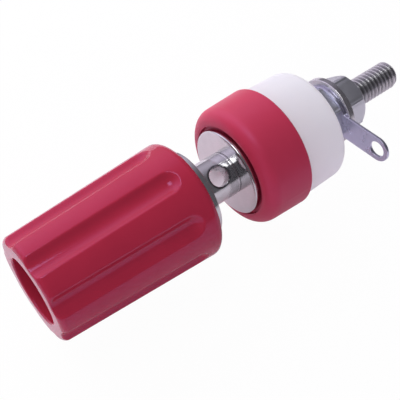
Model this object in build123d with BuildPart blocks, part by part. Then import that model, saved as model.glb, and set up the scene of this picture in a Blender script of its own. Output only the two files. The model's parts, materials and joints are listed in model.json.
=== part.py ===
from build123d import *
import math
import os

os.makedirs("parts", exist_ok=True)

# A 4 mm binding post for a panel, drawn with its knob part-way unscrewed.
# The axis runs along Y. The knob faces -Y, the threaded tail points along +Y, and +Z is up.
# The origin is on the axis, in the plane where the front insulator meets the panel.

# Running clearances, on the radius
thread_clearance = 0.05
insert_clearance = 0.02
hole_clearance = 0.15

# Terminal post: one turned piece with a socket, a flange and a tail
shank_d = 6.0
shank_length = 21.9
shank_chamfer = 0.3
flange_d = 12.0
flange_thickness = 1.1
flange_bevel = 0.2
flange_front_y = -7.3
tail_d = 4.0
tail_end_y = 23.4
tail_chamfer = 0.4
socket_d = 4.0
socket_depth = 16.0
socket_lead_in = 0.25
drill_point_angle = 118.0
wire_hole_d = 2.6
wire_hole_y = -9.65
wire_hole_angle = 58.7

# Front insulator: the coloured collar on the panel's front
collar_front_d = 16.6
collar_back_d = 17.1
collar_lip_flat = 0.2
collar_back_round = 0.2
recess_clearance = 0.45
recess_depth = 0.5
spigot_d = 8.0
spigot_length = 2.5

# Rear insulator: the white bush on the panel's back
bush_front_d = 16.1
bush_back_d = 15.8
bush_length = 6.85
bush_edge_round = 0.9
bush_front_round = 0.1
spigot_socket_clearance = 0.1
spigot_socket_spare = 0.5

# Nuts, solder lug and washer on the tail
nut_across_flats = 7.05
nut_thickness = 3.5
nut_face_d = 6.6
nut_chamfer_angle = 43.0
nut_blank_spare = 0.1
panel_nut_angle = 44.6
rear_nut_angle = 40.0
lug_thickness = 0.4
lug_ring_d = 8.0
lug_tab_width = 3.65
lug_reach = 9.8
lug_eye_d = 2.3
lug_neck_round = 0.4
lug_angle = 5.6
washer_d = 9.6
washer_thickness = 0.9
washer_edge_round = 0.15

# Knob and its metal insert
knob_mouth_d = 13.8
knob_back_d = 16.0
knob_length = 22.1
knob_bore_d = 8.8
knob_mouth_round = 0.8
knob_bore_round = 0.25
knob_back_round = 0.9
knob_mouth_y = -36.0
flute_count = 8
flute_angle = 31.2
flute_radius = 1.75
flute_depth = 0.75
flute_end_margin = 3.85
flute_edge_round = 0.4
insert_d = 10.0
insert_length = 9.0
insert_ring_d = 12.0
insert_ring_thickness = 1.2
insert_ring_round = 0.15
insert_groove_depth = 0.5
insert_groove_width = 2.0

# Places worked out along the axis
shank_end_y = flange_front_y - shank_length
flange_back_y = flange_front_y + flange_thickness
collar_front_y = flange_back_y - recess_depth
panel_nut_y = bush_length
lug_y = panel_nut_y + nut_thickness
washer_y = lug_y + lug_thickness
rear_nut_y = washer_y + washer_thickness
knob_back_y = knob_mouth_y + knob_length
insert_ring_y = knob_back_y + insert_ring_thickness
insert_front_y = knob_back_y - insert_length
tail_hole_r = tail_d / 2 + hole_clearance
recess_r = flange_d / 2 + recess_clearance


def ring_section(inner_r, outer_r, low_y, high_y):
    """Half section of a plain ring about the Y axis, in the open sketch."""
    with Locations((inner_r, low_y)):
        Rectangle(outer_r - inner_r, high_y - low_y, align=(Align.MIN, Align.MIN))


def corners_at(sketch, x, y):
    """The corner of a sketch that lies at one point."""
    return sketch.vertices().sort_by_distance((x, y, 0))[0]


# Terminal post
socket_tip = socket_d / 2 / math.tan(math.radians(drill_point_angle / 2))
with BuildPart() as terminal_post:
    with BuildSketch(Plane.XY) as post_section:
        ring_section(0, shank_d / 2, shank_end_y, flange_front_y)
        ring_section(0, flange_d / 2, flange_front_y, flange_back_y)
        ring_section(0, tail_d / 2, flange_back_y, tail_end_y)
        with BuildLine(mode=Mode.PRIVATE) as socket_outline:
            Polyline(
                (0, shank_end_y),
                (socket_d / 2, shank_end_y),
                (socket_d / 2, shank_end_y + socket_depth),
                (0, shank_end_y + socket_depth + socket_tip),
                close=True,
            )
        add(make_face(socket_outline.edges(), mode=Mode.PRIVATE), mode=Mode.SUBTRACT)
        chamfer(corners_at(post_section, shank_d / 2, shank_end_y), length=shank_chamfer)
        chamfer(corners_at(post_section, socket_d / 2, shank_end_y), length=socket_lead_in)
        chamfer(corners_at(post_section, flange_d / 2, flange_front_y), length=flange_bevel)
        chamfer(corners_at(post_section, tail_d / 2, tail_end_y), length=tail_chamfer)
    revolve(axis=Axis.Y)
    hole_direction = (math.cos(math.radians(wire_hole_angle)), 0, math.sin(math.radians(wire_hole_angle)))
    hole_plane = Plane(origin=(0, wire_hole_y, 0), x_dir=(0, 1, 0), z_dir=hole_direction)
    with BuildSketch(hole_plane):
        Circle(wire_hole_d / 2)
    extrude(amount=shank_d, both=True, mode=Mode.SUBTRACT)
terminal_post.part.label = "terminal_post"

# Front insulator
# The big front rounding leaves a narrow flat lip round the recess, however the sides lean.
collar_lip = collar_front_d / 2 - recess_r
collar_side_lean = math.atan2((collar_back_d - collar_front_d) / 2, -collar_front_y)
collar_edge_round = (collar_lip - collar_lip_flat) * math.tan((math.radians(90) + collar_side_lean) / 2)
with BuildPart() as front_insulator:
    with BuildSketch(Plane.XY) as collar_section:
        with BuildLine():
            Polyline(
                (tail_hole_r, flange_back_y),
                (recess_r, flange_back_y),
                (recess_r, collar_front_y),
                (collar_front_d / 2, collar_front_y),
                (collar_back_d / 2, 0),
                (spigot_d / 2, 0),
                (spigot_d / 2, spigot_length),
                (tail_hole_r, spigot_length),
                close=True,
            )
        make_face()
        fillet(corners_at(collar_section, collar_front_d / 2, collar_front_y), radius=collar_edge_round)
        fillet(corners_at(collar_section, collar_back_d / 2, 0), radius=collar_back_round)
    revolve(axis=Axis.Y)
front_insulator.part.label = "front_insulator"

# Rear insulator
spigot_socket_r = spigot_d / 2 + spigot_socket_clearance
spigot_socket_depth = spigot_length + spigot_socket_spare
with BuildPart() as rear_insulator:
    with BuildSketch(Plane.XY) as bush_section:
        with BuildLine():
            Polyline(
                (spigot_socket_r, 0),
                (bush_front_d / 2, 0),
                (bush_back_d / 2, bush_length),
                (tail_hole_r, bush_length),
                (tail_hole_r, spigot_socket_depth),
                (spigot_socket_r, spigot_socket_depth),
                close=True,
            )
        make_face()
        fillet(corners_at(bush_section, bush_back_d / 2, bush_length), radius=bush_edge_round)
        fillet(corners_at(bush_section, bush_front_d / 2, 0), radius=bush_front_round)
    revolve(axis=Axis.Y)
rear_insulator.part.label = "rear_insulator"

# Nuts
nut_face_r = nut_face_d / 2
nut_blank_r = nut_across_flats / math.sqrt(3) + nut_blank_spare
nut_chamfer_height = (nut_blank_r - nut_face_r) * math.tan(math.radians(nut_chamfer_angle))
nut_bore_r = tail_d / 2 + thread_clearance


def hex_nut(flat_y, turned_y, angle):
    """A hexagon nut on the Y axis. Its corners are turned off at one face, and the other face is flat."""
    thickness = turned_y - flat_y
    with BuildPart() as nut:
        with BuildSketch(Plane.XZ.offset(-flat_y)):
            RegularPolygon(nut_across_flats / 2, 6, major_radius=False, rotation=angle)
        extrude(amount=-thickness)
        chamfer_y = turned_y - math.copysign(nut_chamfer_height, thickness)
        with BuildSketch(Plane.XY):
            with BuildLine():
                Polyline(
                    (nut_bore_r, flat_y),
                    (nut_blank_r, flat_y),
                    (nut_blank_r, chamfer_y),
                    (nut_face_r, turned_y),
                    (nut_bore_r, turned_y),
                    close=True,
                )
            make_face()
        revolve(axis=Axis.Y, mode=Mode.INTERSECT)
    return nut


panel_nut = hex_nut(lug_y, panel_nut_y, panel_nut_angle)
panel_nut.part.label = "panel_nut"

rear_nut = hex_nut(rear_nut_y, rear_nut_y + nut_thickness, rear_nut_angle)
rear_nut.part.label = "rear_nut"

# Solder lug
with BuildPart() as solder_lug:
    with BuildSketch(Plane.XZ.offset(-lug_y)) as lug_outline:
        Circle(lug_ring_d / 2)
        with Locations(Rotation(0, 0, lug_angle)):
            with Locations((lug_reach / 2, 0)):
                Rectangle(lug_reach, lug_tab_width)
            with Locations((lug_reach, 0)):
                Circle(lug_tab_width / 2)
        necks = lug_outline.vertices().sort_by_distance((0, 0, 0))[:2]
        fillet(necks, radius=lug_neck_round)
        Circle(tail_hole_r, mode=Mode.SUBTRACT)
        with Locations(Rotation(0, 0, lug_angle)):
            with Locations((lug_reach, 0)):
                Circle(lug_eye_d / 2, mode=Mode.SUBTRACT)
    extrude(amount=-lug_thickness)
solder_lug.part.label = "solder_lug"

# Washer
with BuildPart() as washer:
    with BuildSketch(Plane.XY) as washer_section:
        ring_section(tail_hole_r, washer_d / 2, washer_y, washer_y + washer_thickness)
        fillet(corners_at(washer_section, washer_d / 2, washer_y), radius=washer_edge_round)
        fillet(corners_at(washer_section, washer_d / 2, washer_y + washer_thickness), radius=washer_edge_round)
    revolve(axis=Axis.Y)
washer.part.label = "washer"

# Knob insert: a threaded sleeve with a ring that shows at the knob's back
insert_bore_r = shank_d / 2 + thread_clearance
groove_mid_y = knob_back_y - insert_length / 2
groove_low_y = groove_mid_y - insert_groove_width / 2
groove_high_y = groove_mid_y + insert_groove_width / 2
with BuildPart() as knob_insert:
    with BuildSketch(Plane.XY) as insert_section:
        ring_section(insert_bore_r, insert_d / 2, insert_front_y, knob_back_y)
        ring_section(insert_bore_r, insert_ring_d / 2, knob_back_y, insert_ring_y)
        with Locations((insert_d / 2, groove_mid_y)):
            Rectangle(insert_groove_depth * 2, insert_groove_width, mode=Mode.SUBTRACT)
        fillet(corners_at(insert_section, insert_ring_d / 2, insert_ring_y), radius=insert_ring_round)
    revolve(axis=Axis.Y)
knob_insert.part.label = "knob_insert"

# Knob: a tapered fluted grip moulded round the insert
mouth_r = knob_mouth_d / 2
back_r = knob_back_d / 2
taper_angle = math.degrees(math.atan2(back_r - mouth_r, knob_length))
flute_end_y = knob_back_y - flute_end_margin
flute_end_surface_r = back_r - flute_end_margin * math.tan(math.radians(taper_angle))
flute_centre_r = flute_end_surface_r - flute_depth + flute_radius
cavity_r = insert_d / 2 + insert_clearance
with BuildPart() as knob:
    with BuildSketch(Plane.XY) as knob_section:
        with BuildLine():
            Polyline(
                (knob_bore_d / 2, knob_mouth_y),
                (mouth_r, knob_mouth_y),
                (back_r, knob_back_y),
                (cavity_r, knob_back_y),
                (cavity_r, insert_front_y - insert_clearance),
                (knob_bore_d / 2, insert_front_y - insert_clearance),
                close=True,
            )
        make_face()
        with Locations((cavity_r, groove_mid_y)):
            Rectangle(
                insert_groove_depth * 2,
                insert_groove_width - 2 * insert_clearance,
                mode=Mode.ADD,
            )
        fillet(corners_at(knob_section, knob_bore_d / 2, knob_mouth_y), radius=knob_bore_round)
        fillet(corners_at(knob_section, mouth_r, knob_mouth_y), radius=knob_mouth_round)
        fillet(corners_at(knob_section, back_r, knob_back_y), radius=knob_back_round)
    revolve(axis=Axis.Y)
    with Locations(Plane.XZ.offset(-flute_end_y)):
        with PolarLocations(flute_centre_r, flute_count, start_angle=flute_angle):
            Sphere(flute_radius, mode=Mode.SUBTRACT)
            Cylinder(
                flute_radius,
                knob_length,
                rotation=(0, -taper_angle, 0),
                align=(Align.CENTER, Align.CENTER, Align.MIN),
                mode=Mode.SUBTRACT,
            )
    grip_surface = knob.faces().filter_by(GeomType.CONE).sort_by(SortBy.AREA)[-1]
    fillet(grip_surface.edges().filter_by(GeomType.BSPLINE), radius=flute_edge_round)
knob.part.label = "knob"

for piece in (
    terminal_post,
    front_insulator,
    rear_insulator,
    panel_nut,
    solder_lug,
    washer,
    rear_nut,
    knob_insert,
    knob,
):
    export_step(piece.part, "parts/" + piece.part.label + ".step")
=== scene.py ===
# %% [markdown]
# # Dressing a binding post
#
# A binding post joins a wire or a plug to a panel. This one has a fluted crimson knob on a
# plated shank, a crimson collar in front of the panel, a white bush behind it, and nuts, a
# washer and a solder lug on a threaded tail. The solids come from a CAD model that is packed as
# a fixed frame, so nothing here moves or resizes them. What is added is what a drawing leaves
# out: threads, softer edges, plating, moulded plastic and light.

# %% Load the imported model
import json
import math
from collections import namedtuple

import bmesh
import bpy
from mathutils import Matrix, Vector


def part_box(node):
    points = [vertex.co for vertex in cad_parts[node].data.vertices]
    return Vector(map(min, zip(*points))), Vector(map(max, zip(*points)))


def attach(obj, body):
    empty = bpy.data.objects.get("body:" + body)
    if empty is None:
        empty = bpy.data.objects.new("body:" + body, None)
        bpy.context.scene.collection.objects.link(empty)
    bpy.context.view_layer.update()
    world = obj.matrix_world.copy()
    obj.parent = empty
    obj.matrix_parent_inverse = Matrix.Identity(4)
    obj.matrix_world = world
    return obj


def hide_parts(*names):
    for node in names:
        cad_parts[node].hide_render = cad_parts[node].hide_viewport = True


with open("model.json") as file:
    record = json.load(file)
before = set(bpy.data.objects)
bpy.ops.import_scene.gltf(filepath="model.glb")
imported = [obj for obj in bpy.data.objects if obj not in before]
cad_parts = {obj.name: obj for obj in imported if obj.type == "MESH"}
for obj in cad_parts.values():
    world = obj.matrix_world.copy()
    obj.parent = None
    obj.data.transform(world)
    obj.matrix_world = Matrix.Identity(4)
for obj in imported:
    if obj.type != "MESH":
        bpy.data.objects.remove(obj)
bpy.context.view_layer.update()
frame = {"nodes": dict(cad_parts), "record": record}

nodes = frame["nodes"]
print("CAD pieces:", sorted(nodes))

# %% [markdown]
# ## Sizes that the pieces share
#
# Blender works in metres here and the part is small, so a named MM keeps the sizes readable.
# Where a size can be read from the frame, it is: the boxes of the CAD nodes give the ends of a
# piece, and the record's mounts give the radii of the socket, the wire hole and the tail. The
# sizes that neither gives are written once, beside the piece that needs them.

# %% Read sizes from the frame
MM = 0.001
mounts = {mount["name"]: mount for mount in frame["record"]["mounts"]}


def mount_r(name):
    """The radius of a mount of the record."""
    return mounts[name]["dims"]["r_mm"] * MM


post_low, post_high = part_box("terminal_post")
shank_tip_y = post_low.y
tail_tip_y = post_high.y
flange_r = post_high.x
socket_r = mount_r("banana_socket")
socket_middle_y = mounts["banana_socket"]["pos_m"][1]
socket_end_y = 2 * socket_middle_y - shank_tip_y
tail_r = mount_r("threaded_tail")
print("post from", round(shank_tip_y / MM, 2), "to", round(tail_tip_y / MM, 2), "mm along Y")

# %% [markdown]
# ## Half outlines with soft corners
#
# The post and the nuts are shaped on a lathe and the knob is round, so each starts as a half
# outline of (radius, y) points, and the outline goes round the Y axis. No real edge is perfectly
# sharp: each corner becomes a short arc, which catches a thin highlight. A Bevel modifier could
# round the finished mesh, but rounding the outline keeps the arcs evenly spaced.

# %% Round the corners of an outline
CORNER_STEPS = 4


def round_corner(before, corner, after, radius, count=CORNER_STEPS):
    """Points of the arc that rounds one corner of an outline."""
    corner = Vector(corner)
    to_before = (Vector(before) - corner).normalized()
    to_after = (Vector(after) - corner).normalized()
    half_angle = to_before.angle(to_after) / 2
    centre = corner + (to_before + to_after).normalized() * (radius / math.sin(half_angle))
    start = corner + to_before * (radius / math.tan(half_angle)) - centre
    end = corner + to_after * (radius / math.tan(half_angle)) - centre
    steps = [start.lerp(end, step / count) for step in range(count + 1)]
    return [tuple(centre + step.normalized() * radius) for step in steps]


def rounded(points, radii, count=CORNER_STEPS):
    """An outline with its inner corners rounded, one radius for each."""
    outline = [points[0]]
    for before, corner, after, radius in zip(points, points[1:], points[2:], radii):
        outline += round_corner(before, corner, after, radius, count)
    return outline + [points[-1]]


# %% Sweep outlines round the axis
SAME_POINT = 0.0001 * MM


def sweep(name, angles, outline_at, closed=False):
    """A mesh of half outlines about the Y axis, one from outline_at for each angle.

    A closed outline runs back from its last point to its first, as a ring's does.
    """
    shape = bmesh.new()
    columns = []
    for angle in angles:
        sine, cosine = math.sin(angle), math.cos(angle)
        columns.append([shape.verts.new((r * sine, y, r * cosine)) for r, y in outline_at(angle)])
    rows = len(columns[0])
    pairs = [(row, row + 1) for row in range(rows - 1)] + [(rows - 1, 0)] * closed
    for here, beside in zip(columns, columns[1:] + columns[:1]):
        for row, following in pairs:
            shape.faces.new((here[row], here[following], beside[following], beside[row]))
    bmesh.ops.remove_doubles(shape, verts=shape.verts, dist=SAME_POINT)
    bmesh.ops.recalc_face_normals(shape, faces=shape.faces)
    mesh = bpy.data.meshes.new(name)
    shape.to_mesh(mesh)
    shape.free()
    return link(name, mesh)


def link(name, mesh):
    """Puts a mesh into the scene as an object."""
    piece = bpy.data.objects.new(name, mesh)
    bpy.context.scene.collection.objects.link(piece)
    return piece


def even_angles(count):
    """Angles that share a full turn evenly."""
    return [2 * math.pi * step / count for step in range(count)]


# %% [markdown]
# ## Threads
#
# The flanks of a metric thread meet at 60 degrees, its flat crest is an eighth of the pitch and
# its root a quarter. A Screw modifier can sweep that profile, but it needs its ends closed by
# hand. Here the groove is a formula instead: its depth depends on how far along and how far
# round a point lies, and each point takes whichever is smaller, the plain bar or the groove.
# So chamfers and the run-out where the die stopped come out by themselves.

# %% The thread's profile
CREST_SHARE = 1 / 8
ROOT_SHARE = 1 / 4
FLANK_SHARE = (1 - CREST_SHARE - ROOT_SHARE) / 2
FLANK_SLOPE = math.sqrt(3)
ROWS_PER_PITCH = 16
Thread = namedtuple("Thread", "outer_r pitch start_y end_y run_out")


def groove_depth(turns):
    """Depth of the groove, in pitches, at a number of turns from the middle of a crest."""
    from_crest = abs((turns + 0.5) % 1 - 0.5) - CREST_SHARE / 2
    return min(max(from_crest, 0), FLANK_SHARE) * FLANK_SLOPE


def thread_radius(thread, y, angle):
    """Radius of a thread at one point. It fades to the plain bar past either end."""
    inside = min(y - thread.start_y, thread.end_y - y) / thread.run_out
    fade = min(max(1 + inside, 0), 1)
    turns = y / thread.pitch - angle / (2 * math.pi)
    return thread.outer_r - fade * groove_depth(turns) * thread.pitch


shank_r = 3.0 * MM
die_run_out = 0.5 * MM
shank_thread = Thread(
    outer_r=shank_r, pitch=0.75 * MM, start_y=shank_tip_y, end_y=-13.5 * MM, run_out=die_run_out,
)
tail_thread = Thread(
    outer_r=tail_r, pitch=0.7 * MM, start_y=0.5 * MM, end_y=tail_tip_y, run_out=die_run_out,
)
for thread in (shank_thread, tail_thread):
    print("thread depth:", round(groove_depth(0.5) * thread.pitch / MM, 3), "mm")

# %% [markdown]
# ## The post
#
# The post is one turned bar: a shank with a plug socket in its end, a flange, and a tail. Its
# outline runs from the bottom of the socket, out over the shank and the flange, to the end of
# the tail. A shallow groove at the shank's foot is where the lathe tool ran out before the
# flange. Of all corners only the flange's front edge is rounded widely. The stretches under a
# thread are cut into close rows, the others into wide ones.

# %% The post's half outline
shank_chamfer = 0.3 * MM
socket_lead_in = 0.25 * MM
drill_tip_angle = math.radians(118)
flange_front_y = -7.3 * MM
flange_back_y = -6.2 * MM
tail_chamfer = 0.4 * MM
relief_width = 0.2 * MM
relief_depth = 0.12 * MM
fine_round = 0.05 * MM
flange_edge_round = 0.2 * MM

post_outline = rounded(
    [
        (0, socket_end_y + socket_r / math.tan(drill_tip_angle / 2)),
        (socket_r, socket_end_y),
        (socket_r, shank_tip_y + socket_lead_in),
        (socket_r + socket_lead_in, shank_tip_y),
        (shank_r - shank_chamfer, shank_tip_y),
        (shank_r, shank_tip_y + shank_chamfer),
        (shank_r, flange_front_y - relief_width),
        (shank_r - relief_depth, flange_front_y - relief_width),
        (shank_r - relief_depth, flange_front_y),
        (flange_r, flange_front_y),
        (flange_r, flange_back_y),
        (tail_r, flange_back_y),
        (tail_r, tail_tip_y - tail_chamfer),
        (tail_r - tail_chamfer, tail_tip_y),
        (0, tail_tip_y),
    ],
    [fine_round] * 8 + [flange_edge_round] + [fine_round] * 4,
)
print("post outline:", len(post_outline), "points")

# %% Add rows and turn the post
PLAIN_ROW = 0.5 * MM
POST_SEGMENTS = 64


def thread_over(radius, y):
    """The thread that covers an outline's point, or None on plain bar."""
    for thread in (shank_thread, tail_thread):
        at_crest = thread.outer_r - thread.pitch < radius < thread.outer_r + fine_round
        if at_crest and thread.start_y - thread.run_out <= y <= thread.end_y + thread.run_out:
            return thread
    return None


def add_rows(outline):
    """The outline with extra points: close together under a thread, wide apart elsewhere."""
    rows = [outline[0]]
    for (r0, y0), (r1, y1) in zip(outline, outline[1:]):
        length = math.hypot(r1 - r0, y1 - y0)
        steps = max(1, math.ceil(length / PLAIN_ROW))
        for step in range(1, steps + 1):
            end = (r0 + (r1 - r0) * step / steps, y0 + (y1 - y0) * step / steps)
            thread = thread_over(*end)
            closer = math.ceil(length / steps / (thread.pitch / ROWS_PER_PITCH)) if thread else 1
            r, y = rows[-1]
            for part in range(1, closer + 1):
                rows.append((r + (end[0] - r) * part / closer, y + (end[1] - y) * part / closer))
    return rows


post_rows = add_rows(post_outline)
post_threads = [thread_over(*row) for row in post_rows]


def threaded_outline(angle):
    """The post's outline at one angle, with its threads cut."""
    outline = []
    for (radius, y), thread in zip(post_rows, post_threads):
        outline.append((min(radius, thread_radius(thread, y, angle)) if thread else radius, y))
    return outline


threaded_post = sweep("threaded_post", even_angles(POST_SEGMENTS), threaded_outline)
print("threaded_post:", len(post_rows), "rows,", len(threaded_post.data.polygons), "faces")

# %% [markdown]
# The wire hole is drilled across the shank after turning. A Boolean modifier does the same with
# a long thin cylinder, which is dropped afterwards. The exact solver is slower than the fast
# one, but it leaves no stray faces where the rim crosses the turned rows. A fitter then breaks
# the sharp rim, so that it doesn't cut the wire. The rim's edges are the ones that lie both on
# the hole's wall and on the shank's outside, so they can be picked by place and bevelled alone.

# %% Drill the wire hole
DRILL_SEGMENTS = 64


def apply_modifiers(piece):
    """Replaces a piece's mesh by what its modifiers make of it."""
    depsgraph = bpy.context.evaluated_depsgraph_get()
    mesh = bpy.data.meshes.new_from_object(piece.evaluated_get(depsgraph))
    piece.modifiers.clear()
    piece.data = mesh


def drill(piece, centre, axis, radius, depth):
    """Takes a round hole out of a piece."""
    shape = bmesh.new()
    placed = Matrix.Translation(centre) @ axis.to_track_quat("Z", "Y").to_matrix().to_4x4()
    bmesh.ops.create_cone(
        shape, cap_ends=True, segments=DRILL_SEGMENTS, radius1=radius, radius2=radius,
        depth=depth, matrix=placed,
    )
    mesh = bpy.data.meshes.new("drill_bit")
    shape.to_mesh(mesh)
    shape.free()
    bit = link("drill_bit", mesh)
    hole = piece.modifiers.new("hole", "BOOLEAN")
    hole.operation = "DIFFERENCE"
    hole.solver = "EXACT"
    hole.object = bit
    apply_modifiers(piece)
    bpy.data.objects.remove(bit)


wire_hole = mounts["wire_hole"]
hole_centre = Vector(wire_hole["pos_m"])
hole_axis = Vector(wire_hole["axis"]).normalized()
hole_r = mount_r("wire_hole")
drill(threaded_post, hole_centre, hole_axis, hole_r, 4 * shank_r)
print("threaded_post, drilled:", len(threaded_post.data.polygons), "faces")

# %% Break the hole's edge
hole_break = 0.14 * MM
HOLE_BREAK_STEPS = 3
NEARLY = 0.01 * MM


def on_hole(point):
    """Whether a point lies on the hole's wall."""
    return abs((point - hole_centre).cross(hole_axis).length - hole_r) < NEARLY


def on_shank(point):
    """Whether a point lies on the shank's outside."""
    return math.hypot(point.x, point.z) > shank_r - 2 * NEARLY


drilled = bmesh.new()
drilled.from_mesh(threaded_post.data)
rim = [edge for edge in drilled.edges if all(on_hole(v.co) and on_shank(v.co) for v in edge.verts)]
bmesh.ops.bevel(
    drilled, geom=rim, offset=hole_break, segments=HOLE_BREAK_STEPS, profile=0.5, affect="EDGES",
)
drilled.to_mesh(threaded_post.data)
drilled.free()
print("hole rim:", len(rim), "edges")


# %% [markdown]
# The finished post now stands for the plain one. Each piece rides on a moving body and replaces
# its CAD node. Smooth shading hides the facets, and edges above a set angle are marked sharp so
# that the corners stay crisp.


# %% Let it stand for the plain solid
def dress(piece, node, body, sharp_angle=70):
    """Smooths a piece and lets it stand for a CAD node on a body."""
    piece.data.shade_smooth()
    piece.data.set_sharp_from_angle(angle=math.radians(sharp_angle))
    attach(piece, body)
    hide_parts(node)


dress(threaded_post, "terminal_post", "post")

# %% [markdown]
# ## Nuts
#
# A hexagon nut is cut from bar. These have their corners turned off at one face only, which
# leaves a curved line where the cone meets each flat, and their other face is left flat. A
# bevelled hexagonal prism never gets that curve. Here each direction round the axis has its own
# half outline: the further out the hexagon lies there, the lower the cone has cut it. The angles
# crowd at the six corners, which are rounded a little as on drawn bar.

# %% Half outlines of a nut
nut_corner_round = 0.25 * MM
PAST_CORNER = (0.9, 1.8, 2.7, 3.6, 6, 12, 18, 24)
CORNER_ANGLES = (-30, *(-degrees for degrees in reversed(PAST_CORNER)), 0, *PAST_CORNER)
HEXAGON_SHARE = math.radians(60)
nut_face_r = 3.3 * MM
thread_clearance = 0.05 * MM
nut_bore_r = tail_r + thread_clearance
nut_countersink = 0.25 * MM
nut_chamfer_slope = math.tan(math.radians(43))


def hexagon_radius(apothem, from_corner):
    """Reach of a hexagon with rounded corners, at an angle from its nearest corner."""
    flat = apothem / math.cos(HEXAGON_SHARE / 2 - abs(from_corner))
    centre = (apothem - nut_corner_round) / math.cos(HEXAGON_SHARE / 2)
    across = centre * math.sin(abs(from_corner))
    if across > nut_corner_round:
        return flat
    arc = centre * math.cos(from_corner) + math.sqrt(nut_corner_round ** 2 - across ** 2)
    return min(flat, arc)


def nut_outline(flat_y, turned_y, reach):
    """Closed half outline of a nut where its hexagon has one reach."""
    side = math.copysign(1, turned_y - flat_y)
    cut = (reach - nut_face_r) * nut_chamfer_slope
    rim_r = nut_bore_r + nut_countersink
    corners = [
        (nut_bore_r, flat_y + side * nut_countersink),
        (rim_r, flat_y),
        (reach, flat_y),
        (reach, turned_y - side * cut),
        (nut_face_r, turned_y),
        (rim_r, turned_y),
        (nut_bore_r, turned_y - side * nut_countersink),
    ]
    return rounded(corners, [fine_round] * (len(corners) - 2))


# %% Make both nuts
def make_nut(name, node, body):
    """A hexagon nut in place of a CAD node, turned as that node is."""
    low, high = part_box(node)
    points = [vertex.co for vertex in nodes[node].data.vertices]
    reach = max(math.hypot(co.x, co.z) for co in points)
    corners = [co for co in points if math.hypot(co.x, co.z) > reach - NEARLY]
    corner_angle = math.atan2(corners[0].x, corners[0].z)
    apothem = reach * math.cos(HEXAGON_SHARE / 2)
    flat_y = min((low.y, high.y), key=lambda end_y: min(abs(co.y - end_y) for co in corners))
    turned_y = low.y + high.y - flat_y
    spread = [
        corner_angle + math.radians(60 * side + degrees)
        for side in range(6) for degrees in CORNER_ANGLES
    ]

    def outline_at(angle):
        from_corner = (angle - corner_angle + HEXAGON_SHARE / 2) % HEXAGON_SHARE - HEXAGON_SHARE / 2
        return nut_outline(flat_y, turned_y, hexagon_radius(apothem, from_corner))

    nut = sweep(name, spread, outline_at, closed=True)
    dress(nut, node, body)
    print(name, "across flats", round(2 * apothem / MM, 2), "mm,", len(nut.data.polygons), "faces")
    return nut


front_nut = make_nut("front_nut", "panel_nut", "panel_nut")
back_nut = make_nut("back_nut", "rear_nut", "rear_nut")

# %% [markdown]
# ## Solder lug
#
# The lug is stamped from thin tinned sheet, so its edges are slightly rolled. A filled 2D curve
# suits a stamping: the outer line and the holes are splines, Extrude gives the thickness, and
# Bevel rolls every edge alike. The curve is then turned into a mesh.

# %% Outline of the lug
ARC_STEP = math.radians(5)
lug_neck_round = 0.4 * MM
lug_edge_round = 0.06 * MM
lug_low, lug_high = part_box("solder_lug")
lug_eye = Vector(mounts["solder_eye"]["pos_m"])
lug_reach = math.hypot(lug_eye.x, lug_eye.z)
lug_angle = math.atan2(lug_eye.z, lug_eye.x)
lug_ring_r = -lug_low.x
lug_tab_r = lug_high.x - lug_eye.x
lug_hole_clearance = 0.15 * MM
lug_hole_r = tail_r + lug_hole_clearance


def arc(centre, radius, start, end):
    """Points of an arc from one angle to another."""
    steps = max(1, math.ceil(abs(end - start) / ARC_STEP))
    angles = [start + (end - start) * step / steps for step in range(steps + 1)]
    return [(centre[0] + radius * math.cos(a), centre[1] + radius * math.sin(a)) for a in angles]


neck_off = lug_tab_r + lug_neck_round
neck_along = math.sqrt((lug_ring_r + lug_neck_round) ** 2 - neck_off ** 2)
neck_angle = math.atan2(neck_off, neck_along)
quarter_turn = math.pi / 2
lug_lines = [
    arc((0, 0), lug_ring_r, neck_angle, 2 * math.pi - neck_angle)
    + arc((neck_along, -neck_off), lug_neck_round, math.pi - neck_angle, quarter_turn)
    + arc((lug_reach, 0), lug_tab_r, -quarter_turn, quarter_turn)
    + arc((neck_along, neck_off), lug_neck_round, -quarter_turn, neck_angle - math.pi),
    arc((0, 0), lug_hole_r, 0, 2 * math.pi)[:-1],
    arc((lug_reach, 0), mount_r("solder_eye"), 0, 2 * math.pi)[:-1],
]
print("lug outline:", [len(line) for line in lug_lines], "points")

# %% Stamp the lug
stamping = bpy.data.curves.new("lug_outline", "CURVE")
stamping.dimensions = "2D"
stamping.fill_mode = "BOTH"
thickness = lug_high.y - lug_low.y
stamping.extrude = thickness / 2 - lug_edge_round
stamping.bevel_depth = lug_edge_round
stamping.bevel_resolution = 2
stamping.offset = -lug_edge_round
for line in lug_lines:
    spline = stamping.splines.new("POLY")
    spline.points.add(len(line) - 1)
    spline.use_cyclic_u = True
    for point, (x, y) in zip(spline.points, line):
        point.co = (x, y, 0, 1)
sheet = link("lug_sheet", stamping)
stamped = sheet.evaluated_get(bpy.context.evaluated_depsgraph_get())
stamped_lug = link("stamped_lug", bpy.data.meshes.new_from_object(stamped))
bpy.data.objects.remove(sheet)
upright = Matrix.Rotation(quarter_turn, 4, "X")
swung = Matrix.Rotation(-lug_angle, 4, "Y")
seated = Matrix.Translation((0, (lug_low.y + lug_high.y) / 2, 0))
stamped_lug.data.transform(seated @ swung @ upright)
dress(stamped_lug, "solder_lug", "lug", sharp_angle=40)
print("stamped_lug:", len(stamped_lug.data.polygons), "faces")

# %% [markdown]
# ## The knob
#
# The knob is moulded, and its eight flutes were cut into the mould's model with a ball-nosed
# cutter that stopped short of the back, so each ends in a round scoop. Boolean cylinders would
# leave hard edges that a bevel can't follow into the scoops. As the flutes run along the axis,
# each point's radius is a formula here: the smaller of the cone and the cutter's surface, with
# a smooth minimum, which melts the edge between the two.

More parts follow.
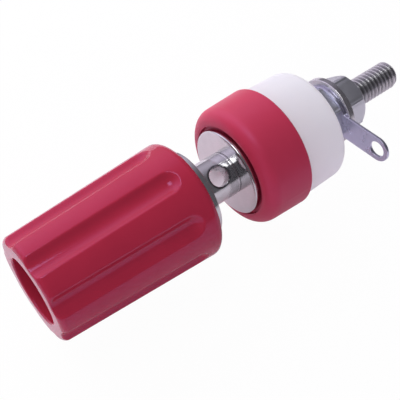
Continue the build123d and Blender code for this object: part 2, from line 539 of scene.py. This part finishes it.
# %% The knob's half outline
knob_low, knob_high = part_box("knob")
mouth_y = knob_low.y
back_y = knob_high.y
mouth_r = 6.9 * MM
back_r = 8.0 * MM
knob_bore_r = 4.4 * MM
insert_r = 5.0 * MM
insert_depth = 9.0 * MM
insert_clearance = 0.02 * MM
cavity_r = insert_r + insert_clearance
cavity_y = back_y - insert_depth - insert_clearance
mouth_round = 0.8 * MM
back_round = 0.9 * MM
bore_round = 0.25 * MM
KNOB_CORNER_STEPS = 8

knob_outline = rounded(
    [
        (cavity_r, cavity_y),
        (knob_bore_r, cavity_y),
        (knob_bore_r, mouth_y),
        (mouth_r, mouth_y),
        (back_r, back_y),
        (cavity_r, back_y),
        (cavity_r, cavity_y),
    ],
    [fine_round, bore_round, mouth_round, back_round, fine_round],
    KNOB_CORNER_STEPS,
)[:-1]
print("knob outline:", len(knob_outline), "points")

# %% Cut the flutes
flute_count = 8
flute_angle = math.radians(58.8)
flute_depth = 0.75 * MM
flute_edge_blend = 0.45 * MM
cutter_r = 1.75 * MM
scoop_y = back_y - 3.85 * MM
grip_inner_r = mouth_r - mouth_round    # What lies further in is the bore and isn't fluted


def cone_radius(y):
    """Radius of the plain grip at one place along it."""
    return mouth_r + (back_r - mouth_r) * (y - mouth_y) / (back_y - mouth_y)


def cutter_radius(y, from_flute):
    """Where the cutter's surface meets one direction, or None past its end."""
    centre = cone_radius(y) - flute_depth + cutter_r
    past_scoop = max(y - scoop_y, 0)
    reach = cutter_r ** 2 - past_scoop ** 2 - (centre * math.sin(from_flute)) ** 2
    return centre * math.cos(from_flute) - math.sqrt(reach) if reach > 0 else None


def fluted_radius(radius, y, angle):
    """Radius of the grip with its flutes, melted where they meet the cone."""
    share = 2 * math.pi / flute_count
    cut = cutter_radius(y, (angle - flute_angle + share / 2) % share - share / 2)
    if cut is None:
        return radius
    near = max(1 - abs(cut - radius) / flute_edge_blend, 0)
    return min(cut, radius) - near ** 2 * flute_edge_blend / 4


print("scoops start", round((back_y - scoop_y) / MM, 2), "mm from the knob's back")

# %% Rows along the grip
SCOOP_ROW = 0.09 * MM


def fill_rows(outline):
    """The outline with rows along the grip, which are close together round the scoops."""
    rows = []
    for (r0, y0), (r1, y1) in zip(outline, outline[1:] + outline[:1]):
        steps = max(1, math.ceil(abs(y1 - y0) / PLAIN_ROW)) if r1 > grip_inner_r else 1
        for step in range(steps):
            y = y0 + (y1 - y0) * step / steps
            near_scoop = steps > 1 and abs(y - scoop_y - cutter_r / 2) < cutter_r
            closer = math.ceil(PLAIN_ROW / SCOOP_ROW) if near_scoop else 1
            for part in range(closer):
                along = (step + part / closer) / steps
                rows.append((r0 + (r1 - r0) * along, y0 + (y1 - y0) * along))
    return rows


knob_rows = fill_rows(knob_outline)
print("knob:", len(knob_rows), "rows")

# %% Turn the knob
COLUMNS_PER_FLUTE = 48


def fluted_outline(angle):
    """The knob's outline at one angle."""
    return [(fluted_radius(r, y, angle), y) if r > grip_inner_r else (r, y) for r, y in knob_rows]


knob_angles = even_angles(flute_count * COLUMNS_PER_FLUTE)
fluted_knob = sweep("fluted_knob", knob_angles, fluted_outline, closed=True)
dress(fluted_knob, "knob", "knob", sharp_angle=60)
print("fluted_knob:", len(fluted_knob.data.polygons), "faces")

# %% [markdown]
# ## A small language for materials
#
# A material in Blender is a graph of nodes. Building one call by call hides what it computes, so
# a Signal wraps one output socket and overloads the operators: noise * 0.2 + 0.4 adds the two
# Math nodes that say the same. Math nodes handle numbers only, so colours and vectors go through
# Mix and Vector Math nodes.


# %% Signals: sockets that can be used in sums
class Signal:
    """One value in a graph of nodes. Sums with it add Math or Vector Math nodes."""

    def __init__(self, graph, socket):
        self.graph = graph
        self.socket = socket

    def combine(self, operation, first, second):
        kind = "ShaderNodeMath" if self.socket.type == "VALUE" else "ShaderNodeVectorMath"
        return self.graph.add(kind, {"operation": operation}, {0: first, 1: second})

    def __add__(self, other):
        return self.combine("ADD", self, other)

    def __radd__(self, other):
        return self.combine("ADD", other, self)

    def __sub__(self, other):
        return self.combine("SUBTRACT", self, other)

    def __rsub__(self, other):
        return self.combine("SUBTRACT", other, self)

    def __mul__(self, other):
        return self.combine("MULTIPLY", self, other)

    def __rmul__(self, other):
        return self.combine("MULTIPLY", other, self)

    def __truediv__(self, other):
        return self.combine("DIVIDE", self, other)

    def __rtruediv__(self, other):
        return self.combine("DIVIDE", other, self)

    def __pow__(self, other):
        return self.combine("POWER", self, other)

    def __rpow__(self, other):
        return self.combine("POWER", other, self)


# %% Graphs: where signals live
class Graph:
    """The nodes of a material or of the world."""

    def __init__(self, tree):
        self.tree = tree

    def add(self, kind, settings=None, inputs=None, output=0):
        """Adds a node: its settings first, then its inputs. Returns one of its outputs."""
        node = self.tree.nodes.new(kind)
        for setting, value in (settings or {}).items():
            setattr(node, setting, value)
        for socket, value in (inputs or {}).items():
            self.feed(node.inputs[socket], value)
        return Signal(self, node.outputs[output]) if node.outputs else None

    def feed(self, socket, value):
        """Links a signal to a socket, or sets the socket to a number or a tuple."""
        if isinstance(value, Signal):
            self.tree.links.new(value.socket, socket)
        else:
            socket.default_value = value


# %% Finishes: one material each
class Finish(Graph):
    """A material with its nodes. The constants are set on the shader's own sockets."""

    def __init__(self, name, constants):
        self.material = bpy.data.materials.new(name)
        self.material.use_nodes = True
        super().__init__(self.material.node_tree)
        self.shader = self.tree.nodes["Principled BSDF"]
        for socket, value in constants.items():
            self.shader.inputs[socket].default_value = value

    def shade(self, socket, value):
        """Feeds one socket of the material's shader."""
        self.feed(self.shader.inputs[socket], value)

    def so_far(self, socket):
        """What feeds a socket of the shader until now."""
        return Signal(self, self.shader.inputs[socket].links[0].from_socket)

    def mix_with(self, other, share):
        """Lets another shader take a share of the surface."""
        own = Signal(self, self.shader.outputs["BSDF"])
        mixed = self.add("ShaderNodeMixShader", None, {0: share, 1: own, 2: other})
        self.feed(self.tree.nodes["Material Output"].inputs["Surface"], mixed)

    def put_on(self, *pieces):
        """Gives the finish to whole pieces."""
        for piece in pieces:
            piece.data.materials.clear()
            piece.data.materials.append(self.material)
        print(self.material.name, "on", [piece.name for piece in pieces])


# %% [markdown]
# Every texture here is placed by the piece's own coordinates, in millimetres, so it moves with
# the piece and has a real size. Two of them do nearly all the work: clouds, which drift over the
# whole surface, and lines, which run round the axis as a lathe leaves them. The lines are noise
# that depends on one number, the radius plus the y. That number changes along a turned outline
# and is the same all the way round.


# %% Where a point lies
def place(finish):
    """The piece's own coordinates, in millimetres."""
    coordinates = finish.add("ShaderNodeTexCoord", output="Object")
    return coordinates * (1 / MM, 1 / MM, 1 / MM)


def radius_and_y(finish):
    """A point's distance from the axis and its y, in millimetres."""
    split = finish.add("ShaderNodeSeparateXYZ", None, {0: place(finish)}, "X")
    x, y, z = (Signal(finish, split.socket.node.outputs[name]) for name in "XYZ")
    return (x * x + z * z) ** 0.5, y


def share_between(finish, value, start, end):
    """Rises evenly from 0 at the start to 1 at the end. The end may be the smaller number."""
    inputs = {"Value": value, "From Min": start, "From Max": end}
    return finish.add("ShaderNodeMapRange", None, inputs)


# %% Clouds and turning lines
def clouds(finish, size_mm, detail=2.0):
    """Soft noise from 0 to 1, with blotches about as large as size_mm."""
    inputs = {"Vector": place(finish), "Scale": 1 / size_mm, "Detail": detail}
    return finish.add("ShaderNodeTexNoise", None, inputs, "Fac")


def turning_lines(finish, width_mm):
    """Noise from 0 to 1 that changes only along the outline, so its lines run round."""
    radius, y = radius_and_y(finish)
    inputs = {"W": radius + y, "Scale": 1 / width_mm, "Detail": 3.0}
    return finish.add("ShaderNodeTexNoise", {"noise_dimensions": "1D"}, inputs, "Fac")


def swing(noise, amount):
    """Noise about 0 instead of about a half, to vary a value by a part of the amount."""
    return (noise - 0.5) * amount


# %% Colours and bumps
FIRST_COLOR, SECOND_COLOR, MIXED_COLOR = 6, 7, 2    # The colour sockets of a Mix node, by number


def blend(finish, share, low, high):
    """A colour between low and high, each of them a colour or a signal."""
    ends = [color if isinstance(color, Signal) else (*color, 1) for color in (low, high)]
    inputs = {0: share, FIRST_COLOR: ends[0], SECOND_COLOR: ends[1]}
    return finish.add("ShaderNodeMix", {"data_type": "RGBA"}, inputs, MIXED_COLOR)


def mottled(finish, share, color, darkest, lightest):
    """A colour that drifts between a darker and a lighter tone of itself."""
    tones = [tuple(min(channel * factor, 1) for channel in color) for factor in (darkest, lightest)]
    return blend(finish, share, *tones)


def bump(finish, height, depth_mm):
    """A Bump node's normal for a height from 0 to 1 that stands for a depth."""
    inputs = {"Height": height, "Distance": depth_mm * MM}
    return finish.add("ShaderNodeBump", None, inputs, "Normal")


# %% [markdown]
# ## Plastics
#
# The knob is a glossy moulding, the collar and the bush are satin. Moulded plastic isn't
# perfectly even: its colour drifts a little with the flow, and its skin has a faint ripple that
# breaks up long reflections. A satin skin also has a fine grain from the mould's steel. Crimson
# plastic under a cool light shines with a lilac edge, which the Specular Tint gives. The collar
# and the bush are right as they come from the CAD model, so they only get a new material.


# %% Moulded plastic
FLOW_MM = 4.0
RIPPLE_MM = 1.6
GRAIN_MM = 0.12
RIPPLE_DEPTH_MM = 0.006
GRAIN_ROUGHNESS = 0.12
FLOW_ROUGHNESS = 0.08


def moulded_plastic(name, color, roughness, grain_depth_mm, constants):
    """Plastic with drifting colour, a rippled skin and a fine grain."""
    finish = Finish(name, constants)
    flow = clouds(finish, FLOW_MM)
    ripple = clouds(finish, RIPPLE_MM)
    grain = clouds(finish, GRAIN_MM, detail=3.0)
    relief = ripple * RIPPLE_DEPTH_MM / grain_depth_mm + grain
    finish.shade("Base Color", mottled(finish, flow, color, darkest=0.94, lightest=1.06))
    uneven = roughness + swing(grain, GRAIN_ROUGHNESS) + swing(flow, FLOW_ROUGHNESS)
    finish.shade("Roughness", uneven)
    finish.shade("Normal", bump(finish, relief, grain_depth_mm))
    return finish


# %% Knob and collar
lilac_gloss = {"Specular Tint": (0.62, 0.48, 1.0, 1), "Specular IOR Level": 0.5}
knob_plastic = moulded_plastic(
    "knob_plastic", (0.45, 0.025, 0.058), roughness=0.12, grain_depth_mm=0.0004,
    constants=lilac_gloss,
)
collar_plastic = moulded_plastic(
    "collar_plastic", (0.53, 0.036, 0.082), roughness=0.42, grain_depth_mm=0.0012,
    constants=lilac_gloss,
)
knob_plastic.put_on(fluted_knob)
collar_plastic.put_on(nodes["front_insulator"])

# %% [markdown]
# The bush is white and lets light in, so its shaded side never looks as dark as paint would.
# Subsurface scattering is the usual way to show that, but the bush is a sleeve and the light is
# lost in its bore. Here a Translucent shader takes a share of the surface instead, and a weak
# glow stands for light that has wandered through.

# %% The bush
translucent_share = 0.4
wandering_light = {"Emission Color": (0.95, 0.93, 1.0, 1), "Emission Strength": 0.24}
bush_plastic = moulded_plastic(
    "bush_plastic", (0.72, 0.73, 0.80), roughness=0.45, grain_depth_mm=0.0012,
    constants=wandering_light,
)
through = bush_plastic.add("ShaderNodeBsdfTranslucent", None, {"Color": (1.0, 0.98, 1.0, 1)})
bush_plastic.mix_with(through, translucent_share)
bush_plastic.put_on(nodes["rear_insulator"])

# %% [markdown]
# ## Metals
#
# The post, the ring in the knob and the fasteners are turned and then nickel plated. Plating
# follows what is under it, so the tool's fine lines still run round the axis and draw bright
# surfaces out into streaks. A real lathe leaves a spiral, but at this size rings look the same.
# The ring and the washer keep their CAD solids.


# %% Turned and plated metal
SMUDGE_MM = 1.5
SMUDGE_ROUGHNESS = 0.14
LINE_ROUGHNESS = 0.1


def turned_metal(name, color, roughness, line_mm, line_depth_mm):
    """Plated metal with turning lines, and smudges that dull it here and there."""
    finish = Finish(name, {"Metallic": 1.0})
    lines = turning_lines(finish, line_mm)
    smudges = clouds(finish, SMUDGE_MM, detail=3.0)
    finish.shade("Base Color", mottled(finish, smudges, color, darkest=0.9, lightest=1.08))
    uneven = roughness + swing(smudges, SMUDGE_ROUGHNESS) + swing(lines, LINE_ROUGHNESS)
    finish.shade("Roughness", uneven)
    finish.shade("Normal", bump(finish, lines, line_depth_mm))
    return finish


# %% Three platings
bright_nickel = turned_metal(
    "bright_nickel", (0.62, 0.62, 0.63), roughness=0.14, line_mm=0.18, line_depth_mm=0.002,
)
bright_nickel.put_on(threaded_post, nodes["knob_insert"])
dull_nickel = turned_metal(
    "dull_nickel", (0.62, 0.64, 0.68), roughness=0.44, line_mm=0.2, line_depth_mm=0.003,
)
dull_nickel.put_on(front_nut, back_nut)
warm_nickel = turned_metal(
    "warm_nickel", (0.58, 0.58, 0.60), roughness=0.2, line_mm=0.3, line_depth_mm=0.004,
)
warm_nickel.put_on(nodes["washer"])

# %% [markdown]
# The post alone has more to it. Its colour is darkened as painted shade where shade would fall:
# round the rim of the wire hole and in the grooves of the tail's thread. Both places are found by
# distance, one from the hole's axis and one from the post's, so nothing has to be painted by hand.
# The tail is also duller than the shank, because nobody polishes it.

# %% Painted shade round the wire hole
painted_rim_shade_color = (0.06, 0.05, 0.07)
painted_rim_shade_r_mm = 1.46
painted_rim_shade_width_mm = 0.2
patch_mm = 0.3
patch_least = 0.35
patch_gain = 0.9


def near_hole(finish, distance_mm, width_mm):
    """1 at one distance from the wire hole's axis, falling to 0 within a width."""
    offset = place(finish) - tuple(hole_centre / MM)
    vectors = {0: offset, 1: hole_axis}
    across = finish.add("ShaderNodeVectorMath", {"operation": "CROSS_PRODUCT"}, vectors)
    distance = finish.add("ShaderNodeVectorMath", {"operation": "LENGTH"}, {0: across}, "Value")
    apart = finish.add("ShaderNodeMath", {"operation": "ABSOLUTE"}, {0: distance - distance_mm})
    return finish.add("ShaderNodeMath", {"operation": "MAXIMUM"}, {0: 1 - apart / width_mm, 1: 0.0})


def paint_shade_over(finish, share, color):
    """Covers a share of the finish with a colour, which here is painted shade."""
    finish.shade("Base Color", blend(finish, share, finish.so_far("Base Color"), color))


# Painted shade: the rim of the wire hole is darkened in the metal's colour, in patches.
patches = patch_least + clouds(bright_nickel, patch_mm) * patch_gain
painted_rim_shade_share = near_hole(bright_nickel, painted_rim_shade_r_mm, painted_rim_shade_width_mm) * patches
paint_shade_over(bright_nickel, painted_rim_shade_share, painted_rim_shade_color)
print("painted shade reaches", round(painted_rim_shade_r_mm + painted_rim_shade_width_mm, 2), "mm from the hole's axis")

# %% A duller tail with painted shade in its thread
painted_groove_shade_color = (0.07, 0.07, 0.09)
painted_groove_shade_share = 0.5
tail_roughness = 0.16
dull_from_mm = 5.0
crest_mm = tail_r / MM
root_mm = 1.7
tip_mm = (tail_tip_y - tail_chamfer) / MM
clean_tip_mm = 0.2

from_axis, along = radius_and_y(bright_nickel)
on_tail = share_between(bright_nickel, along, 0.0, dull_from_mm)
bright_nickel.shade("Roughness", bright_nickel.so_far("Roughness") + on_tail * tail_roughness)
# Painted shade: the grooves of the tail's thread are darkened in the metal's colour.
in_groove = share_between(bright_nickel, from_axis, crest_mm, root_mm)
before_tip = share_between(bright_nickel, along, tip_mm, tip_mm - clean_tip_mm)
paint_shade_over(bright_nickel, in_groove * before_tip * on_tail * painted_groove_shade_share, painted_groove_shade_color)
print("painted groove shade between radii", root_mm, "and", round(crest_mm, 2), "mm")

# %% [markdown]
# The lug is sheet, not bar: it was rolled flat and tinned, so its marks are blotches where the
# tin ran, and faint straight scratches along the tab.

# %% Tinned sheet
tin_color = (0.58, 0.58, 0.72)
tin_roughness = 0.3
run_roughness = 0.2
run_height = 2
scratch_stretch = (0.35, 4.0, 6.0)
tinned_sheet = Finish("tinned_sheet", {"Metallic": 1.0})
runs = clouds(tinned_sheet, 1.2, detail=4.0)
streaky = {"Vector": place(tinned_sheet) * scratch_stretch, "Scale": 1.5, "Detail": 3.0}
scratches = tinned_sheet.add("ShaderNodeTexNoise", None, streaky, "Fac")
tin_tones = mottled(tinned_sheet, runs, tin_color, darkest=0.88, lightest=1.1)
tinned_sheet.shade("Base Color", tin_tones)
tinned_sheet.shade("Roughness", tin_roughness + swing(runs, run_roughness))
tinned_sheet.shade("Normal", bump(tinned_sheet, runs * run_height + scratches, depth_mm=0.004))
tinned_sheet.put_on(stamped_lug)

# %% [markdown]
# ## Floor and light
#
# The part hangs just over a white table, low enough for a soft shadow and high enough for the
# lug to swing round. The background is white, so a Light Path node makes the floor and the world
# mostly white to camera rays. Two lamps do the lighting: a broad one at the upper left, like a
# window, and a small one overhead, which the scoops of the knob mirror as spots. A weak third one
# fills the shadows from the front. Polished metal needs something dark to mirror, or it looks
# like chalk, so what mirrors see of the world is a glow that fades from the window's side to
# nearly black.

# %% The floor
FLOOR_GAP = 0.05 * MM
FLOOR_HALF = 0.6
floor_z = -(lug_reach + lug_tab_r) - FLOOR_GAP
floor_mesh = bpy.data.meshes.new("floor")
floor_signs = [(-1, -1), (1, -1), (1, 1), (-1, 1)]
floor_corners = [(x * FLOOR_HALF, y * FLOOR_HALF, floor_z) for x, y in floor_signs]
floor_mesh.from_pydata(floor_corners, [], [(0, 1, 2, 3)])
floor = link("floor", floor_mesh)
print("floor at", round(floor_z / MM, 2), "mm")

# %% White paper on it
WHITE = (1, 1, 1, 1)
GLOW_TO_CAMERA = 0.97
GLOW_TO_METAL = 0.06
paper_shade = (0.90, 0.81, 0.93)
paper_light = (0.95, 0.86, 0.98)
paper = Finish("paper", {"Roughness": 0.9})
paper.shade("Base Color", blend(paper, clouds(paper, 2.0), paper_shade, paper_light))
glow = paper.add("ShaderNodeEmission", None, {"Color": WHITE, "Strength": 1.0})


def white_share(graph):
    """How much plain white a ray meets: nearly all for the camera, a little in reflections."""
    rays = ("Is Camera Ray", "Is Glossy Ray", "Is Transmission Ray")
    camera_ray, glossy_ray, passing_ray = (
        graph.add("ShaderNodeLightPath", output=ray) for ray in rays
    )
    return camera_ray * GLOW_TO_CAMERA + (glossy_ray + passing_ray) * GLOW_TO_METAL


paper.mix_with(glow, white_share(paper))
paper.put_on(floor)

# %% The world
BRIGHT_SIDE = Vector((-0.80, -0.25, 0.54)).normalized()
BRIGHT_FOCUS = 4
DARK_LEVEL = 0.08
BRIGHT_LEVEL = 1.4
AMBIENT_LEVEL = 0.26
LILAC = (0.90, 0.80, 1.0, 1)
world = bpy.data.worlds.new("studio")
bpy.context.scene.world = world
world.use_nodes = True
world.node_tree.nodes.clear()
studio = Graph(world.node_tree)


def even_glow(strength, color=WHITE):
    """A world background of one colour."""
    return studio.add("ShaderNodeBackground", None, {"Color": color, "Strength": strength})


def mix_glows(share, first, second):
    """Takes the second glow by a share, and the first by the rest."""
    return studio.add("ShaderNodeMixShader", None, {0: share, 1: first, 2: second})


sides = {0: studio.add("ShaderNodeTexCoord", output="Generated"), 1: BRIGHT_SIDE}
towards = studio.add("ShaderNodeVectorMath", {"operation": "DOT_PRODUCT"}, sides, "Value")
facing = studio.add("ShaderNodeMath", {"operation": "MAXIMUM"}, {0: towards, 1: 0.0})
level = facing ** BRIGHT_FOCUS * BRIGHT_LEVEL + DARK_LEVEL
mirrored = studio.add("ShaderNodeLightPath", output="Is Glossy Ray")
room = mix_glows(mirrored, even_glow(AMBIENT_LEVEL), even_glow(level, LILAC))
sky = mix_glows(white_share(studio), room, even_glow(1.0))
studio.add("ShaderNodeOutputWorld", None, {"Surface": sky})
print("world nodes:", len(world.node_tree.nodes))


# %% The lamps
def soft_lamp(name, direction, distance, size, share):
    """A square lamp. A share of 1 lights white paper at the origin to about full white."""
    data = bpy.data.lights.new(name, "AREA")
    data.size = size
    data.energy = share * (math.pi * distance) ** 2
    lamp = bpy.data.objects.new(name, data)
    bpy.context.scene.collection.objects.link(lamp)
    direction = Vector(direction).normalized()
    lamp.location = direction * distance
    lamp.rotation_euler = direction.to_track_quat("Z", "Y").to_euler()
    lamp.visible_camera = False
    print(name, "gives", round(data.energy, 3), "W")
    return lamp


window_light = soft_lamp("window_light", (-0.84, 0.02, 0.54), distance=0.3, size=0.36, share=1.12)
window_light.visible_glossy = False
soft_lamp("top_light", (-0.06, -0.27, 0.96), distance=0.3, size=0.14, share=0.26)
fill_light = soft_lamp("fill_light", (0.45, -0.8, 0.4), distance=0.4, size=0.2, share=0.16)
fill_light.visible_glossy = False

# %% [markdown]
# ## Camera
#
# The photograph looks down on the part from the knob's side at about fifty degrees. The camera
# stands close, which is why the knob looks larger than the tail. Its place and lens were fitted
# to the edges of the round pieces, which turn into ellipses whose shape gives the angle away.
# The Standard view transform shows a colour as it is written.

# %% Set the camera
VIEW_AZIMUTH = math.radians(51.64)
VIEW_ELEVATION = math.radians(51.66)
VIEW_DISTANCE = 91.5 * MM
AIM = Vector((1.434, -12.63, 0)) * MM
towards_camera = Vector((
    math.sin(VIEW_AZIMUTH) * math.cos(VIEW_ELEVATION),
    -math.cos(VIEW_AZIMUTH) * math.cos(VIEW_ELEVATION),
    math.sin(VIEW_ELEVATION),
))
camera_data = bpy.data.cameras.new("camera")
camera_data.lens = 65.5
camera_data.sensor_width = 36
camera_data.clip_start = 1 * MM
camera = bpy.data.objects.new("camera", camera_data)
bpy.context.scene.collection.objects.link(camera)
camera.location = AIM + towards_camera * VIEW_DISTANCE
camera.rotation_euler = towards_camera.to_track_quat("Z", "Y").to_euler()
bpy.context.scene.camera = camera
print("camera at", [round(value / MM, 2) for value in camera.location], "mm")

# %% Show plain colours
bpy.context.scene.view_settings.view_transform = "Standard"
